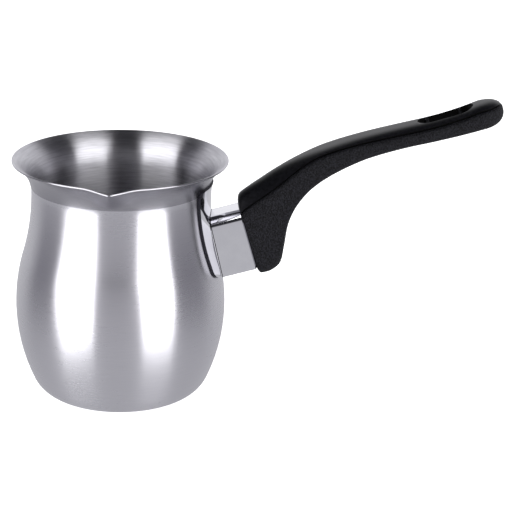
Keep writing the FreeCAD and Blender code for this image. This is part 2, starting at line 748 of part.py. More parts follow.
doc.recompute()
for thing in doc.Objects:
    if {"Invalid", "Error"} & set(thing.State):
        raise RuntimeError(f"{thing.Label} failed: {thing.State}")
os.makedirs("parts", exist_ok=True)
for piece in PIECES:
    shape = piece.Shape
    if shape.isNull() or not shape.isValid() or not shape.Solids:
        raise RuntimeError(f"{piece.Label} has no valid solid")
    box = shape.optimalBoundingBox()
    corners = [round(v, 2) for v in (box.XMin, box.XMax, box.YMin, box.YMax, box.ZMin, box.ZMax)]
    print(piece.Label, len(shape.Solids), "solid(s)", round(shape.Volume, 1), "mm3", corners)
    shape.exportStep(f"parts/{piece.Label}.step")
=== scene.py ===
# %% [markdown]
# # A steel coffee pot with a long black handle
# The pot is a thin stainless bowl with a pinched lip. A polished shield plate is welded to its wall, a
# polished ferrule stands on the plate, and a moulded handle is pulled into the ferrule by one screw.
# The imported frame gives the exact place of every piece, so it is loaded first and never moved.

# %% Load the frame
import math

import bmesh
import bpy
import numpy as np
from mathutils import Matrix, Vector


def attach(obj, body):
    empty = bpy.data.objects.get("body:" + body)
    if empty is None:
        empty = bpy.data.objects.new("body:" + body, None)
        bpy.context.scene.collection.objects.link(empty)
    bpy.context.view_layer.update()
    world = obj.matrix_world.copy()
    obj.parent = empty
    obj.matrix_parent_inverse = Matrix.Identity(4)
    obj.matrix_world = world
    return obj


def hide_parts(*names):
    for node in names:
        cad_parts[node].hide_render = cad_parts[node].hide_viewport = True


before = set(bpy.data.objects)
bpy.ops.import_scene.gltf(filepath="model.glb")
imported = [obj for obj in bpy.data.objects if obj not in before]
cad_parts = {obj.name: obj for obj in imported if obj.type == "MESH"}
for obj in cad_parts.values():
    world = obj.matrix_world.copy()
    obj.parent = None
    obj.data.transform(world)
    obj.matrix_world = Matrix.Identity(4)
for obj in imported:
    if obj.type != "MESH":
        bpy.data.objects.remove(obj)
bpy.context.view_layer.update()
print("nodes:", sorted(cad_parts))

# %% [markdown]
# ## The camera
# A long lens from 0.85 m away keeps the pot's sides nearly parallel, as in a catalogue picture. It looks
# down by 19 degrees. Turning about Z, then tipping, then rolling about its own axis is easy to read as
# three matrices, and is the same for any target point.

# %% Camera
MM = 0.001
TARGET = Vector((58.17, 1.32, 61.85)) * MM
DISTANCE = 850 * MM
SWING, LOOK_DOWN, ROLL = math.radians(1.3), math.radians(18.94), math.radians(1.24)
LENS_MM, SENSOR_MM = 139.04, 36

camera = bpy.data.objects.new("camera", bpy.data.cameras.new("camera"))
bpy.context.collection.objects.link(camera)
camera.data.lens, camera.data.sensor_width = LENS_MM, SENSOR_MM
camera.data.clip_end = 20
aim = Matrix.Rotation(SWING, 4, "Z") @ Matrix.Rotation(math.pi / 2 - LOOK_DOWN, 4, "X")
stand = Matrix.Translation(TARGET + aim @ Vector((0, 0, DISTANCE)))
camera.matrix_world = stand @ aim @ Matrix.Rotation(ROLL, 4, "Z")
bpy.context.scene.camera = camera
bpy.context.scene.view_settings.view_transform = "Standard"
print("camera at", [round(v, 3) for v in camera.matrix_world.translation])

# %% [markdown]
# ## Colours and nodes
# Colours are written as sRGB hex, which is how paint charts give them, and shaders need linear light, so
# one function converts them. One more adds any node with its settings and its links.

# %% Helpers for materials
def linear(code):
    """sRGB hex to linear: c/12.92 when small, else ((c+0.055)/1.055)^2.4. The fourth value is alpha, 1."""
    parts = [int(code[i:i + 2], 16) / 255 for i in (1, 3, 5)]
    return tuple(c / 12.92 if c <= 0.04045 else ((c + 0.055) / 1.055) ** 2.4 for c in parts) + (1.0,)


def add(tree, kind, links=None, **settings):
    """Adds a node; settings with a capital letter are input values, others are node properties."""
    node = tree.nodes.new(kind)
    for key, value in settings.items():
        if key[0].isupper():
            node.inputs[key.replace("_", " ")].default_value = value
        else:
            setattr(node, key, value)
    for key, source in (links or {}).items():
        tree.links.new(source, node.inputs[key])
    return node


def new_material(name):
    """An empty node material with its output node."""
    material = bpy.data.materials.new(name)
    material.use_nodes = True
    material.node_tree.nodes.clear()
    return material, material.node_tree, add(material.node_tree, "ShaderNodeOutputMaterial")


print("white card is", [round(v, 3) for v in linear("#FFFFFF")])

# %% [markdown]
# ## The studio
# Polished steel has no colour of its own: it shows the room. The room here is a pale grey world with a
# darker belt at the sides, a dark tent overhead, two tall soft strips in front, and a white floor. The
# floor is hidden from reflections, because the world below the horizon already stands for a white table
# that is far wider than this one.

# %% World
FRONT_TONE, BACK_TONE, TABLE_TONE, TENT_TONE = "#BFBEC3", "#D6D6D9", "#C4C4C8", "#2C2C30"
BELT = ((0.05, "#BFBEC3"), (0.28, "#8D8C93"), (0.62, "#8B8A91"), (0.80, "#CCCCCF"))
TABLE_BLEND, TENT_BLEND, TENT_SLOPE = (-0.48, -0.08), (0.26, 0.42), -0.3
WALL_GLOW, BACKDROP_GLOW = 0.5, 1.1

world = bpy.data.worlds.new("studio")
bpy.context.scene.world = world
world.use_nodes = True
wt = world.node_tree
wt.nodes.clear()
where = add(wt, "ShaderNodeTexCoord")
split = add(wt, "ShaderNodeSeparateXYZ", {"Vector": where.outputs["Generated"]})
level = add(wt, "ShaderNodeVectorMath", {0: where.outputs["Generated"]}, operation="MULTIPLY")
level.inputs[1].default_value = (1, 1, 0)
heading = add(wt, "ShaderNodeVectorMath", {0: level.outputs[0]}, operation="NORMALIZE")
heading_parts = add(wt, "ShaderNodeSeparateXYZ", {"Vector": heading.outputs[0]})
# Front to back: the grey front of the studio, a dark belt at the sides, a pale wall behind.
around = add(wt, "ShaderNodeMapRange", {"Value": heading_parts.outputs["Y"]}, From_Min=-1, From_Max=1)
belt = add(wt, "ShaderNodeValToRGB", {"Fac": around.outputs["Result"]})
stops = belt.color_ramp.elements
stops[0].position, stops[0].color = 0.0, linear(FRONT_TONE)
stops[1].position, stops[1].color = 1.0, linear(BACK_TONE)
for place, tone in BELT:
    stop = stops.new(place)
    stop.color = linear(tone)
# Below the table line everything is pale; above, the ceiling is a dark tent.
low = add(wt, "ShaderNodeMapRange", {"Value": split.outputs["Z"]}, From_Min=TABLE_BLEND[0],
          From_Max=TABLE_BLEND[1], interpolation_type="SMOOTHSTEP")
sides = add(wt, "ShaderNodeMix", {"Factor": low.outputs["Result"]}, data_type="RGBA")
sides.inputs[6].default_value = linear(TABLE_TONE)
wt.links.new(belt.outputs["Color"], sides.inputs[7])
roof = add(wt, "ShaderNodeMath", {0: around.outputs["Result"], 2: split.outputs["Z"]},
           operation="MULTIPLY_ADD")
roof.inputs[1].default_value = TENT_SLOPE
height = add(wt, "ShaderNodeMapRange", {"Value": roof.outputs[0]}, From_Min=TENT_BLEND[0],
             From_Max=TENT_BLEND[1], interpolation_type="SMOOTHSTEP")
tent = add(wt, "ShaderNodeMix", {"Factor": height.outputs["Result"]}, data_type="RGBA")
wt.links.new(sides.outputs[2], tent.inputs[6])
tent.inputs[7].default_value = linear(TENT_TONE)
# The pale wall behind is lit from above, so it is brightest over the table line.
behind = add(wt, "ShaderNodeMapRange", {"Value": around.outputs["Result"]}, From_Min=0.7, From_Max=0.9)
lit = add(wt, "ShaderNodeMapRange", {"Value": split.outputs["Z"]}, From_Min=0.0, From_Max=0.25,
          To_Max=WALL_GLOW)
boost = add(wt, "ShaderNodeMath", {0: behind.outputs["Result"], 1: lit.outputs["Result"]},
            operation="MULTIPLY")
total = add(wt, "ShaderNodeMath", {0: boost.outputs[0]}, operation="ADD")
total.inputs[1].default_value = 1.0
reflected = add(wt, "ShaderNodeBackground", {"Color": tent.outputs[2], "Strength": total.outputs[0]})
backdrop = add(wt, "ShaderNodeBackground", Color=linear("#FFFFFF"), Strength=BACKDROP_GLOW)
path = add(wt, "ShaderNodeLightPath")
both = add(wt, "ShaderNodeMixShader", {"Fac": path.outputs["Is Camera Ray"]})
wt.links.new(reflected.outputs[0], both.inputs[1])
wt.links.new(backdrop.outputs[0], both.inputs[2])
add(wt, "ShaderNodeOutputWorld", {"Surface": both.outputs[0]})
print("world tones:", len(stops))


# %% [markdown]
# Two tall strips give the pot its two bright bands. The left one leans, because its band on the pot
# leans. A third, weaker card stands beside the right strip, for the polished pieces only.

# %% Lights
POT_MIDDLE, LAMP_DISTANCE = Vector((0, 0, 50)) * MM, 1.5


def strip_light(name, azimuth, elevation, width, height, power, lean=0):
    """A soft box on a sphere about the pot, facing its middle, turned by lean degrees in its own plane.
    Azimuth 0 is in front, positive to the right."""
    a, e = math.radians(azimuth), math.radians(elevation)
    out = Vector((math.sin(a) * math.cos(e), -math.cos(a) * math.cos(e), math.sin(e)))
    place = POT_MIDDLE + LAMP_DISTANCE * out
    light = bpy.data.objects.new(name, bpy.data.lights.new(name, "AREA"))
    bpy.context.collection.objects.link(light)
    light.data.shape = "RECTANGLE"
    light.data.size, light.data.size_y, light.data.energy = width, height, power
    light.location = place
    facing = (POT_MIDDLE - place).to_track_quat("-Z", "Y").to_matrix()
    light.rotation_euler = (facing @ Matrix.Rotation(math.radians(lean), 3, "Z")).to_euler()
    light.visible_camera = False
    print(name, "at", [round(v, 2) for v in place])
    return light


left = strip_light("strip_left", -49.0, 17.5, 1.3, 2.8, 33.5, lean=9)
right = strip_light("strip_right", 46, 17.5, 1.1, 2.8, 28.5)
card = strip_light("card_for_shield", 52, 15, 1.1, 2.8, 6.8)

# %% Floor
REACH = 6
floor_mesh = bpy.data.meshes.new("floor")
floor_mesh.from_pydata([(-REACH, -REACH, 0), (REACH, -REACH, 0), (REACH, REACH, 0), (-REACH, REACH, 0)],
                       [], [(0, 1, 2, 3)])
floor = bpy.data.objects.new("floor", floor_mesh)
bpy.context.collection.objects.link(floor)
paper, pt, out = new_material("white_table")
glow = add(pt, "ShaderNodeEmission", Color=linear("#FFFFFF"), Strength=0.95)
chalk = add(pt, "ShaderNodeBsdfDiffuse", Color=linear("#FAFAFA"))
glow_and_chalk = add(pt, "ShaderNodeAddShader", {0: glow.outputs[0], 1: chalk.outputs[0]})
pt.links.new(glow_and_chalk.outputs[0], out.inputs["Surface"])
floor_mesh.materials.append(paper)
floor.visible_glossy = floor.visible_shadow = floor.visible_diffuse = False
print("floor is", floor.dimensions.x, "m wide")


# %% [markdown]
# ## Steel finishes
# The pot is spun and brushed, so fine lines run round it. The outside of its flare is painted darker:
# painted shade for the dark ring that it mirrors under the rim. The shield and the ferrule are buffed to a
# mirror. The bracket is plain rolled strip, and the screw, the nut and the flat washer are zinc-plated. A
# brushed metal spreads a highlight across its lines. The lines come from noise that is stretched round the
# pot and fine in height, on Object coordinates, so they stay put on the metal.

# %% Brushed stainless
ROUND_THE_POT = (0.06, 0.06, 1.0)


def brushed_steel(name, tone, roughness, anisotropy, line_mm, relief_mm, along=ROUND_THE_POT, tangent=True):
    """Stainless steel with brush lines line_mm apart and relief_mm deep. Along scales the noise on each
    axis: 1 is across the lines, less draws them out. Tangent turns the highlight round the pot's axis."""
    material, tree, out = new_material(name)
    place = add(tree, "ShaderNodeTexCoord")
    per_metre = 1 / (line_mm * MM)
    spread = add(tree, "ShaderNodeMapping", {"Vector": place.outputs["Object"]},
                 Scale=tuple(per_metre * a for a in along))
    lines = add(tree, "ShaderNodeTexNoise", {"Vector": spread.outputs[0]}, Scale=1.0, Detail=3.0,
                Roughness=0.6)
    cloud = add(tree, "ShaderNodeTexNoise", {"Vector": place.outputs["Object"]}, Scale=28.0, Detail=2.0)
    dull = add(tree, "ShaderNodeMapRange", {"Value": lines.outputs["Fac"]}, From_Min=0.3, From_Max=0.7,
               To_Min=roughness * 0.97, To_Max=roughness * 1.03)
    haze = add(tree, "ShaderNodeMapRange", {"Value": cloud.outputs["Fac"]}, To_Min=0.94, To_Max=1.06)
    rough = add(tree, "ShaderNodeMath", {0: dull.outputs[0], 1: haze.outputs[0]}, operation="MULTIPLY")
    shade = add(tree, "ShaderNodeMix", {"Factor": lines.outputs["Fac"]}, data_type="RGBA")
    shade.inputs[6].default_value = linear(tone[0])
    shade.inputs[7].default_value = linear(tone[1])
    bump = add(tree, "ShaderNodeBump", {"Height": lines.outputs["Fac"]}, Distance=relief_mm * MM,
               Strength=1.0)
    steel = add(tree, "ShaderNodeBsdfPrincipled",
                {"Base Color": shade.outputs[2], "Roughness": rough.outputs[0], "Normal": bump.outputs[0]},
                Metallic=1.0, Anisotropic=anisotropy, Anisotropic_Rotation=0.25)
    if tangent:
        turn = add(tree, "ShaderNodeTangent", direction_type="RADIAL", axis="Z")
        tree.links.new(turn.outputs[0], steel.inputs["Tangent"])
    tree.links.new(steel.outputs[0], out.inputs["Surface"])
    return material


pot_steel = brushed_steel("brushed_stainless", ("#CDCCD2", "#D6D5DA"), 0.28, 0.85, 0.5, 0.0001)
# The flare's outside is darker than the pot: painted shade for the dark ring it mirrors under the rim.
shaded_flare_steel = brushed_steel("flare_stainless_painted_shade", ("#A3A2A8", "#ABAAB0"), 0.26, 0.85, 0.5, 0.0001)
inside_steel = brushed_steel("brushed_stainless_inside", ("#96959B", "#DEDDE2"), 0.32, 1.0, 0.7, 0.022)
EVEN = (1, 1, 1)
bracket_steel = brushed_steel("rolled_stainless", ("#AFAEB4", "#CBCACF"), 0.34, 0.3, 0.5, 0.001,
                              (1, 0.08, 0.4), tangent=False)
spring_steel = brushed_steel("spring_steel", ("#77767C", "#98979C"), 0.38, 0.2, 0.3, 0.001,
                             (0.3, 0.3, 1), tangent=False)
zinc_steel = brushed_steel("zinc_plated_steel", ("#B9BCC4", "#D2D4D9"), 0.22, 0.0, 1.2, 0.001,
                           EVEN, tangent=False)
# Dark steel: a dark seam line at the ferrule's front, and painted shade along the shield's outline.
seam_and_shade_steel = brushed_steel("dark_seam_and_painted_shade_steel", ("#26262B", "#4A4A50"), 0.5, 0.0, 0.4, 0.001,
                           EVEN, tangent=False)
print("brush lines 0.5 mm apart outside and 0.7 mm inside, coarser than the real ones so that they show")


# %% Mirror-polished stainless
WAVE, WAVE_DEPTH = 6, 0.002


def polished_steel(name):
    """Buffed stainless: a low, slightly cloudy roughness, with faint waves left by the buffing wheel."""
    material, tree, out = new_material(name)
    place = add(tree, "ShaderNodeTexCoord")
    cloud = add(tree, "ShaderNodeTexNoise", {"Vector": place.outputs["Object"]}, Scale=1 / (WAVE * MM),
                Detail=3.0)
    dull = add(tree, "ShaderNodeMapRange", {"Value": cloud.outputs["Fac"]}, To_Min=0.03, To_Max=0.09)
    shade = add(tree, "ShaderNodeMix", {"Factor": cloud.outputs["Fac"]}, data_type="RGBA")
    shade.inputs[6].default_value = linear("#DEDEE3")
    shade.inputs[7].default_value = linear("#ECECEF")
    bump = add(tree, "ShaderNodeBump", {"Height": cloud.outputs["Fac"]}, Distance=WAVE_DEPTH * MM,
               Strength=1.0)
    steel = add(tree, "ShaderNodeBsdfPrincipled",
                {"Base Color": shade.outputs[2], "Roughness": dull.outputs[0], "Normal": bump.outputs[0]},
                Metallic=1.0)
    tree.links.new(steel.outputs[0], out.inputs["Surface"])
    return material


mirror_steel = polished_steel("mirror_stainless")
print(mirror_steel.name, "with waves of", WAVE, "mm")


# %% [markdown]
# ## Phenolic moulding
# The handle is black phenolic plastic. Its top came out of a satin-polished half of the mould and its
# sides out of a half that was spark-eroded, which leaves fine grit. The slot and the screw well were
# never polished; they and the groove under the cap are near-black, as painted shade for these hollows.
# The three differ only in tone, in roughness, in gloss and in the height of the grain.

# %% Phenolic
def phenolic(name, tone, roughness, gloss, grain_mm, depth_mm, strength):
    """Black moulded phenolic with a grain of grain_mm and a depth of depth_mm. Gloss is the strength of
    its reflection."""
    material, tree, out = new_material(name)
    place = add(tree, "ShaderNodeTexCoord")
    noise = add(tree, "ShaderNodeTexNoise", {"Vector": place.outputs["Object"]}, Scale=1 / (grain_mm * MM),
                Detail=2.0, Roughness=0.5)
    grain = add(tree, "ShaderNodeMapRange", {"Value": noise.outputs["Fac"]}, From_Min=0.36, From_Max=0.64)
    cloud = add(tree, "ShaderNodeTexNoise", {"Vector": place.outputs["Object"]}, Scale=60.0, Detail=2.0)
    dull = add(tree, "ShaderNodeMapRange", {"Value": cloud.outputs["Fac"]}, To_Min=roughness * 0.88,
               To_Max=roughness * 1.12)
    shade = add(tree, "ShaderNodeMix", {"Factor": grain.outputs["Result"]}, data_type="RGBA")
    shade.inputs[6].default_value = linear(tone[0])
    shade.inputs[7].default_value = linear(tone[1])
    bump = add(tree, "ShaderNodeBump", {"Height": grain.outputs["Result"]}, Distance=depth_mm * MM,
               Strength=strength)
    plastic = add(tree, "ShaderNodeBsdfPrincipled",
                  {"Base Color": shade.outputs[2], "Roughness": dull.outputs[0], "Normal": bump.outputs[0]},
                  IOR=1.55, Specular_IOR_Level=gloss)
    tree.links.new(plastic.outputs[0], out.inputs["Surface"])
    return material


satin_phenolic = phenolic("satin_phenolic", ("#111114", "#1C1C20"), 0.33, 0.16, 1.2, 0.004, 0.3)
# Near-black: painted shade for the slot, the screw well and the groove under the cap.
painted_shade_phenolic = phenolic("unpolished_phenolic_painted_shade", ("#020202", "#070708"), 0.7, 0.08, 0.8, 0.05, 0.5)
grit_phenolic = phenolic("spark_textured_phenolic", ("#040406", "#212127"), 0.6, 0.2, 0.62, 0.25, 1.0)
print("grit drawn at 0.62 mm, twice the real grain, so that it shows")


# %% [markdown]
# ## Surfaces from numbers
# A surface is a grid of points in millimetres, with rows in one direction and columns in the other.
# Neighbouring points make the faces. Rows or columns that end where they began are joined, and rows that
# shrink to a point become a pole when doubles are merged.

# %% Grid to mesh
MERGE = 0.002 * MM


def surface(name, points, loop_rows=False, loop_columns=False, bands=None, materials=(), smooth=40):
    """Points (rows, columns, 3) in mm become one closed, outward-facing mesh. Bands gives each column its
    material."""
    rows, columns = points.shape[:2]
    index = np.arange(rows * columns).reshape(rows, columns)
    row_from = np.arange(rows if loop_rows else rows - 1)
    column_from = np.arange(columns if loop_columns else columns - 1)
    a, b = np.meshgrid(row_from, column_from, indexing="ij")
    c, d = (a + 1) % rows, (b + 1) % columns
    faces = np.stack([index[a, b], index[c, b], index[c, d], index[a, d]], axis=-1).reshape(-1, 4)
    mesh = bpy.data.meshes.new(name)
    mesh.from_pydata((points.reshape(-1, 3) * MM), [], faces.tolist())
    if bands is not None:
        mesh.polygons.foreach_set("material_index", np.tile(bands[column_from], len(row_from)))
    return close_up(name, mesh, materials, smooth)


def close_up(name, mesh, materials, smooth):
    """Merges doubles, turns faces outwards and shades smooth up to an angle in degrees."""
    work = bmesh.new()
    work.from_mesh(mesh)
    bmesh.ops.remove_doubles(work, verts=work.verts, dist=MERGE)
    bmesh.ops.dissolve_degenerate(work, edges=work.edges, dist=MERGE)
    bmesh.ops.recalc_face_normals(work, faces=work.faces)
    open_edges = sum(e.is_boundary or not e.is_manifold for e in work.edges)
    work.to_mesh(mesh)
    work.free()
    for material in materials:
        mesh.materials.append(material)
    mesh.shade_smooth()
    mesh.set_sharp_from_angle(angle=math.radians(smooth))
    piece = bpy.data.objects.new(name, mesh)
    bpy.context.collection.objects.link(piece)
    print(f"{name}: {len(mesh.polygons)} faces, {open_edges} open edges")
    return piece


def arc(centre, radius, start, end, count):
    """Points at centre + radius (cos t, sin t), t from start to end degrees."""
    t = np.radians(np.linspace(start, end, count))
    return np.stack([centre[0] + radius * np.cos(t), centre[1] + radius * np.sin(t)], axis=1)


# %% [markdown]
# ## The pot
# The pot is drawn from one disc and spun, so it is a surface of revolution: a round base corner, a full
# belly, a slow inward neck and a short outward flare. Its profile is four arcs that meet without a
# corner, and the wall is the same arcs again, 0.8 mm inside.

# %% Pot profile
WALL, FLOOR = 0.8, 1.6
BELLY, BELLY_Z, BELLY_BEND, CORNER = 45.0, 40.2, 80.0, 13.0
NECK, NECK_Z, RIM, RIM_Z = 37.8, 90.2, 46.0, 103.7
belly_x = BELLY - BELLY_BEND
# The neck arc touches the belly arc from outside; the flare starts upright at the neck and ends at the rim.
neck_x0, neck_z0 = NECK - belly_x, NECK_Z - BELLY_Z
neck_bend = (neck_x0 ** 2 + neck_z0 ** 2 - BELLY_BEND ** 2) / (2 * (BELLY_BEND - neck_x0))
flare_r, flare_z = RIM - NECK, RIM_Z - NECK_Z
flare_bend = (flare_r ** 2 + flare_z ** 2) / (2 * flare_r)
# The flare stops half a wall short, because the rounded edge of the rim is added to it.
flare_end = 180 - math.degrees(math.asin(flare_z / flare_bend) - WALL / 2 / flare_bend)


def wall_line(inset, floor):
    """Radius and height up one face of the wall, inset mm inside the outer face, from the base to the rim."""
    corner = CORNER - inset
    c = belly_x + math.sqrt((BELLY_BEND - CORNER) ** 2 - (BELLY_Z - floor - corner) ** 2)
    low = math.degrees(math.atan2(floor + corner - BELLY_Z, c - belly_x))
    high = math.degrees(math.asin(neck_z0 / (BELLY_BEND + neck_bend)))
    return np.concatenate([
        arc((c, floor + corner), corner, -90, low, 14)[:-1],
        arc((belly_x, BELLY_Z), BELLY_BEND - inset, low, high, 50)[:-1],
        arc((NECK + neck_bend, NECK_Z), neck_bend + inset, 180 + high, 180, 26)[:-1],
        arc((NECK + flare_bend, NECK_Z), flare_bend + inset, 180, flare_end, 26)])


outer, inner = wall_line(0, 0), wall_line(WALL, FLOOR)
print("neck bend", round(neck_bend, 1), "flare bend", round(flare_bend, 2), "mm")

# %% [markdown]
# The lip is pinched outwards after spinning: a narrow V that starts at the neck and is deepest at the
# rim. It is added as a displacement of the spun surface, so the wall keeps its thickness. The V's two
# flanks are straight and its foot and ridge are softly rounded, which a soft-plus curve gives.

# %% The pinch and the spin
LIP_OUT, LIP_DOWN, LIP_HALF, LIP_SOFT, LIP_FOOT = 4.6, 1.1, 10.0, 1.3, 91.5
RIDGE = 0.4


def pinch(points):
    """Moves points outwards and down by a V of softplus(half - |side|), times a smooth height above the
    neck."""
    x, y, z = points[..., 0], points[..., 1], points[..., 2]
    side = np.hypot(x, RIDGE)
    w = LIP_SOFT * np.log1p(np.exp((LIP_HALF - side) / LIP_SOFT)) / LIP_HALF * (y < 0)
    t = np.clip((z - LIP_FOOT) / (RIM_Z - LIP_FOOT), 0, 1.05)
    rise = t * t * (3 - 2 * t)
    moved = points.copy()
    moved[..., 1] -= LIP_OUT * w * rise
    moved[..., 2] -= LIP_DOWN * w * rise
    return moved


def spin(profile, turns):
    """Turns a (radius, height) profile about Z: x = r cos a, y = r sin a."""
    a = np.linspace(0, 2 * np.pi, turns, endpoint=False)[:, None]
    r, z = profile[None, :, 0], profile[None, :, 1]
    return np.stack([r * np.cos(a), r * np.sin(a), np.broadcast_to(z, (turns, len(profile)))], axis=-1)


pinched = pinch(np.array([[0.0, -RIM, RIM_Z]]))[0]
print("the lip's tip stands", round(-RIM - pinched[1], 1), "mm outside the rim")

# %% [markdown]
# The profile runs from the middle of the base, out over a shallow recess and the flat ring that the pot
# stands on, up the outside, round the rim's edge, down the inside and back to the middle of the floor. It
# is one closed line, so turning it gives a closed wall. The outside of the flare gets its own, darker
# finish: painted shade for the dark ring that it mirrors under the rim.

# %% Pot
FLARE_FOOT, RECESS, TURNS = 92.2, 0.6, 300
OUTSIDE, INSIDE, FLARE = 0, 1, 2
rim_mid = (outer[-1] + inner[-1]) / 2
across = outer[-1] - rim_mid
edge_t = np.radians(np.linspace(0, 180, 9))[1:-1, None]
upward = np.array([-across[1], across[0]])
rim_edge = rim_mid + np.cos(edge_t) * across + np.sin(edge_t) * upward
foot = np.array([(0, RECESS), (8, RECESS), (16, RECESS), (19.0, RECESS),
                 (19.5, 0.45), (20.0, 0.1), (20.5, 0.0), (23.5, 0.0)])
well = np.array([(24, FLOOR), (16, FLOOR), (8, FLOOR), (0, FLOOR)])
profile = np.concatenate([foot, outer, rim_edge, inner[::-1], well])
face_side = np.where(np.arange(len(profile)) < len(foot) + len(outer) + 1, OUTSIDE, INSIDE)
# The flare's outside takes the darker steel, which is painted shade.
face_side[(profile[:, 1] > FLARE_FOOT) & (face_side == OUTSIDE)] = FLARE
pot = surface("pot_body_spun", pinch(spin(profile, TURNS)), loop_rows=True, bands=face_side,
              materials=[pot_steel, inside_steel, shaded_flare_steel], smooth=50)
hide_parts("pot_body")
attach(pot, "root")


# %% [markdown]
# ## The leaning frame of the handle
# The ferrule and the handle lean up by 16.5 degrees from a point on the pot's axis, 55.7 mm above the
# table. Their shapes are worked out along that line, and one function turns them into the pot's frame. A
# second one draws the rounded outline that the ferrule, the shield and the slot share.

# %% Leaning frame
AXIS_Z, TILT = 55.7, math.radians(16.5)


def lean(along, side, up):
    """x = along cos - up sin, z = axis height + along sin + up cos."""
    along, side, up = np.broadcast_arrays(along, side, up)
    return np.stack([along * math.cos(TILT) - up * math.sin(TILT), side,
                     AXIS_Z + along * math.sin(TILT) + up * math.cos(TILT)], axis=-1)


def rounded_loop(half_low, half_high, low, high, r_low, r_high, arc_points=16, side_points=14):
    """A rounded trapezium as (side, up) points, the same number on every corner and side."""
    corners = [(half_high, high, r_high, 0), (-half_high, high, r_high, 90),
               (-half_low, low, r_low, 180), (half_low, low, r_low, 270)]
    arcs = [arc((x - math.copysign(r, x), z - (r if k < 2 else -r)), r, start, start + 90, arc_points)
            for k, (x, z, r, start) in enumerate(corners)]
    t = np.linspace(0, 1, side_points + 2)[1:-1, None]
    sides = [arcs[k][-1] * (1 - t) + arcs[(k + 1) % 4][0] * t for k in range(4)]
    return np.concatenate([part for pair in zip(arcs, sides) for part in pair])


print("the handle's line passes", lean(100.0, 0.0, 0.0).round(1), "100 mm out")


# %% [markdown]
# ## The ferrule
# A short rectangular tube, polished to a mirror, closes the gap between the pot and the handle. It is
# swept along the leaning line. Its front end is cut to the shield and its back end is square. The first
# narrow band is dark steel, so the seam to the shield shows as a dark line.

# %% Ferrule
SLEEVE_HALF, SLEEVE_UP, SLEEVE_WALL, SEAT = 10.0, 13.1, 0.8, 57.6
SLEEVE_TOP, TOP_ROUND, LOW_ROUND = 13.5, 5.6, 1.6
SEAM_LOW, SEAM_HIGH = 42.4, 43.9
BEVEL, NEARLY = 0.4, 0.01


def seam(up):
    """Where the ferrule's front end is along the leaning line, from its underside to its top."""
    return SEAM_LOW + (SEAM_HIGH - SEAM_LOW) * (up + SLEEVE_UP) / (2 * SLEEVE_UP)


tube = rounded_loop(SLEEVE_HALF, SLEEVE_HALF, -SLEEVE_UP, SLEEVE_TOP, LOW_ROUND, TOP_ROUND)
bore_half = SLEEVE_HALF - SLEEVE_WALL
bore = rounded_loop(bore_half, bore_half, SLEEVE_WALL - SLEEVE_UP, SLEEVE_TOP - SLEEVE_WALL,
                    LOW_ROUND - 0.7, TOP_ROUND - SLEEVE_WALL)
narrow = tube * (1 - BEVEL / SLEEVE_HALF)
front = seam(tube[:, 1])
# Back along the outside from the shield to the seat, round the end, and forward again through the bore.
stations = [lean(front, *narrow.T), lean(front + BEVEL, *tube.T)]
stations += [lean(front + (SEAT - front) * share, *tube.T) for share in (0.3, 0.55, 0.8)]
stations += [lean(SEAT - BEVEL, *tube.T), lean(SEAT - NEARLY, *narrow.T), lean(SEAT - NEARLY, *bore.T)]
stations += [lean(front, *bore.T)]
is_edge = (np.arange(len(stations)) == 0).astype(int)
ferrule = surface("ferrule_tube", np.array(stations).transpose(1, 0, 2), loop_rows=True, loop_columns=True,
                  bands=is_edge, materials=[mirror_steel, seam_and_shade_steel])
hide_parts("ferrule_sleeve")
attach(ferrule, "root")

# %% [markdown]
# ## The shield plate
# A pressed plate lies on the pot's wall and rises in a hollow curve to the ferrule. Each of its lines
# starts on the rounded outline on the pot and ends on the ferrule's edge. On the way it leaves the pot
# slowly and then climbs fast, which a quarter turn of a circle gives.

# %% Shield plate
SHIELD_LOW, SHIELD_HIGH, SHIELD_HALF_LOW, SHIELD_HALF_HIGH = 56.0, 95.0, 15.6, 17.2
CORNER_LOW, CORNER_HIGH, EDGE, EASE, SLOPE = 5, 3, 1.0, 0.2, 0.1
BACK_LIFT, BACK_CLIMB = -0.1, 0.85
order = np.argsort(outer[:, 1])


def pot_radius(z):
    """The pot's outer radius at a height."""
    return np.interp(z, outer[order, 1], outer[order, 0])


def on_pot(side, z, lift):
    """A point on the wall at height z, side mm round it, lift mm proud of it."""
    r = pot_radius(z)
    a = side / r
    return np.stack([(r + lift) * np.cos(a), (r + lift) * np.sin(a), np.broadcast_to(z, a.shape)], axis=-1)


def shield_line(inset):
    """The shield's outline on the wall, inset mm inside its edge, as (side, height)."""
    return rounded_loop(SHIELD_HALF_LOW - inset, SHIELD_HALF_HIGH - inset, SHIELD_LOW + inset,
                        SHIELD_HIGH - inset, CORNER_LOW - inset, CORNER_HIGH - inset)


top_line = lean(front + 0.05, *tube.T)
# Where each line's upper end would land if it slid down the leaning line onto the wall.
land = np.full(len(tube), 40.0)
for _ in range(12):
    here = lean(land, *tube.T)
    land += (pot_radius(here[:, 2]) - np.hypot(here[:, 0], here[:, 1]))
foot_z = lean(land, *tube.T)[:, 2]
foot_side = pot_radius(foot_z) * np.arcsin(np.clip(tube[:, 0] / pot_radius(foot_z), -1, 1))
